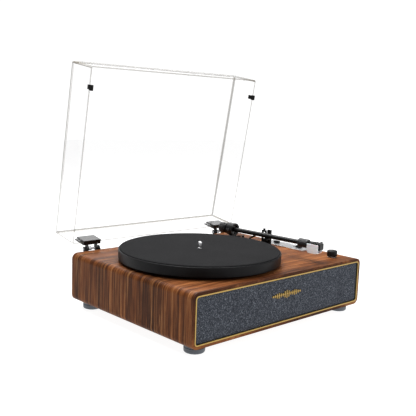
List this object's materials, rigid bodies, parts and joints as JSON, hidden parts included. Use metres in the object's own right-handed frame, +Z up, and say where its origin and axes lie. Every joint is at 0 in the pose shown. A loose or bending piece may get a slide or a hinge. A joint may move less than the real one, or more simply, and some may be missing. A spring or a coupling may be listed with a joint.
{
  "type": "turntable record player",
  "caption": "Belt-drive record player: wooden cabinet with built-in speakers behind a cloth front, felt-topped platter, straight tonearm and a clear hinged dust cover.",
  "frame": {"origin": "on the floor under the middle of the cabinet, level with the feet's undersides", "axes": "+X to the player's right seen from the front, -Y out of the front, +Z up"},
  "size_m": [0.434, 0.4157, 0.4576],
  "materials": {
    "walnut_veneer": "satin",
    "hardboard": "raw board",
    "speaker_cloth": "woven",
    "black_plastic": "fine texture",
    "gloss_black": "polished",
    "gold_trim": "brushed",
    "slate_rubber": "matt",
    "felt": "felt",
    "steel": "satin",
    "zinc_screw": "satin",
    "chrome": "mirror",
    "silver_plate": "brushed",
    "arm_black": "satin",
    "collar_grey": "satin",
    "guard_white": "translucent white",
    "clear_acrylic": "polished clear",
    "belt_rubber": "matt",
    "circuit_board": "solder mask",
    "magnet": "ground",
    "paper_cone": "paper"
  },
  "bodies": {
    "cabinet": {"cabinet_shell": "walnut_veneer", "bottom_cover": "hardboard", "rear_panel": "black_plastic", "front_baffle": "hardboard", "grille_frame": "black_plastic", "grille_cloth": "speaker_cloth", "grille_trim": "gold_trim", "front_badge": "gold_trim", "rubber_feet": "slate_rubber", "case_screws": "zinc_screw", "speaker_units": "magnet", "speaker_cones": "paper_cone", "amplifier_board": "circuit_board", "board_parts": "black_plastic", "volume_pot": "steel", "connector_plate": "black_plastic", "rear_sockets": "chrome", "switch_frame": "black_plastic", "spindle_bearing": "steel", "motor_bracket": "steel", "motor": "steel", "drive_belt": "belt_rubber", "knob_collar": "chrome", "control_plate": "silver_plate", "switch_bodies": "black_plastic", "tonearm_base": "gloss_black", "tonearm_pillar": "arm_black", "pillar_nut": "zinc_screw", "arm_rest": "black_plastic", "latch_pin": "steel", "lift_cylinder": "arm_black", "hinge_bases": "black_plastic", "hinge_pins": "steel", "hinge_springs": "steel"},
    "cover": {"dust_cover": "clear_acrylic", "cover_bumpers": "slate_rubber", "hinge_clamps": "gloss_black"},
    "platter_body": {"platter": "gloss_black", "platter_mat": "felt", "platter_spindle": "chrome"},
    "pulley_body": {"motor_pulley": "silver_plate", "motor_shaft": "steel"},
    "yoke_body": {"arm_yoke": "arm_black", "pivot_screws": "chrome"},
    "arm_body": {"bearing_block": "arm_black", "arm_tube": "arm_black"},
    "sleeve_body": {"weight_sleeve": "black_plastic"},
    "weight_body": {"counterweight": "arm_black"},
    "collar_body": {"locking_collar": "collar_grey"},
    "head_body": {"headshell": "gloss_black", "cartridge": "black_plastic", "stylus": "collar_grey"},
    "guard_body": {"stylus_guard": "guard_white"},
    "lift_body": {"lift_bar": "arm_black"},
    "cue_body": {"cue_lever": "arm_black"},
    "latch_body": {"arm_latch": "black_plastic"},
    "knob_body": {"volume_knob": "gloss_black"},
    "rocker_body": {"power_rocker": "gloss_black"},
    "speed_body": {"speed_slider": "black_plastic"},
    "stop_body": {"stop_slider": "black_plastic"}
  },
  "joints": [
    {"name": "cover_hinge", "type": "hinge", "parent": "cabinet", "child": "cover", "pos_m": [0, 0.1779, 0.1067], "axis": [1, 0, 0], "range_deg": [0, 80]},
    {"name": "platter_spin", "type": "hinge", "parent": "cabinet", "child": "platter_body", "pos_m": [-0.059, -0.01, 0.11], "axis": [0, 0, -1], "continuous": true},
    {"name": "pulley_spin", "type": "hinge", "parent": "cabinet", "child": "pulley_body", "pos_m": [-0.137, 0.068, 0.11], "axis": [0, 0, -1], "continuous": true},
    {"name": "arm_swing", "type": "hinge", "parent": "cabinet", "child": "yoke_body", "pos_m": [0.104, 0.069, 0.135], "axis": [0, 0, -1], "range_deg": [0, 48]},
    {"name": "arm_tilt", "type": "hinge", "parent": "yoke_body", "child": "arm_body", "pos_m": [0.104, 0.069, 0.135], "axis": [-0.9984, -0.0558, 0], "range_deg": [0, 9]},
    {"name": "weight_slide", "type": "slide", "parent": "arm_body", "child": "sleeve_body", "axis": [0.0558, -0.9984, 0], "range_m": [-0.002, 0.002]},
    {"name": "weight_turn", "type": "hinge", "parent": "sleeve_body", "child": "weight_body", "pos_m": [0.10277, 0.09097, 0.135], "axis": [0.0558, -0.9984, 0], "range_deg": [-540, 540]},
    {"name": "collar_turn", "type": "hinge", "parent": "arm_body", "child": "collar_body", "pos_m": [0.11416, -0.11272, 0.135], "axis": [0.0558, -0.9984, 0], "range_deg": [0, 60]},
    {"name": "headshell_pull", "type": "slide", "parent": "arm_body", "child": "head_body", "axis": [0.0558, -0.9984, 0], "range_m": [0, 0.005]},
    {"name": "guard_pull", "type": "slide", "parent": "head_body", "child": "guard_body", "axis": [0.0558, -0.9984, 0], "range_m": [0, 0.009]},
    {"name": "cue_turn", "type": "hinge", "parent": "cabinet", "child": "cue_body", "pos_m": [0.11666, 0.03966, 0.115], "axis": [-0.9984, -0.0558, 0], "range_deg": [0, 70]},
    {"name": "lift_rise", "type": "slide", "parent": "cabinet", "child": "lift_body", "axis": [0, 0, 1], "range_m": [0, 0.003]},
    {"name": "latch_turn", "type": "hinge", "parent": "cabinet", "child": "latch_body", "pos_m": [0.1157, -0.00947, 0.1418], "axis": [0.0558, -0.9984, 0], "range_deg": [0, 90]},
    {"name": "volume_turn", "type": "hinge", "parent": "cabinet", "child": "knob_body", "pos_m": [0.176, -0.1335, 0.11], "axis": [0, 0, -1], "range_deg": [0, 300]},
    {"name": "power_rock", "type": "hinge", "parent": "cabinet", "child": "rocker_body", "pos_m": [0.09, 0.171, 0.045], "axis": [1, 0, 0], "range_deg": [0, 16]},
    {"name": "speed_slide", "type": "slide", "parent": "cabinet", "child": "speed_body", "axis": [0, 1, 0], "range_m": [0, 0.012]},
    {"name": "stop_slide", "type": "slide", "parent": "cabinet", "child": "stop_body", "axis": [0, 1, 0], "range_m": [0, 0.006]}
  ],
  "couplings": [
    {"joint": "pulley_spin", "follows": "platter_spin", "ratio": 10.962},
    {"joint": "arm_tilt", "follows": "arm_swing", "ratio": 0.155},
    {"joint": "weight_slide", "follows": "weight_turn", "m_per_rad": 0.0002},
    {"joint": "lift_rise", "follows": "cue_turn", "m_per_rad": 0.0024531}
  ]
}
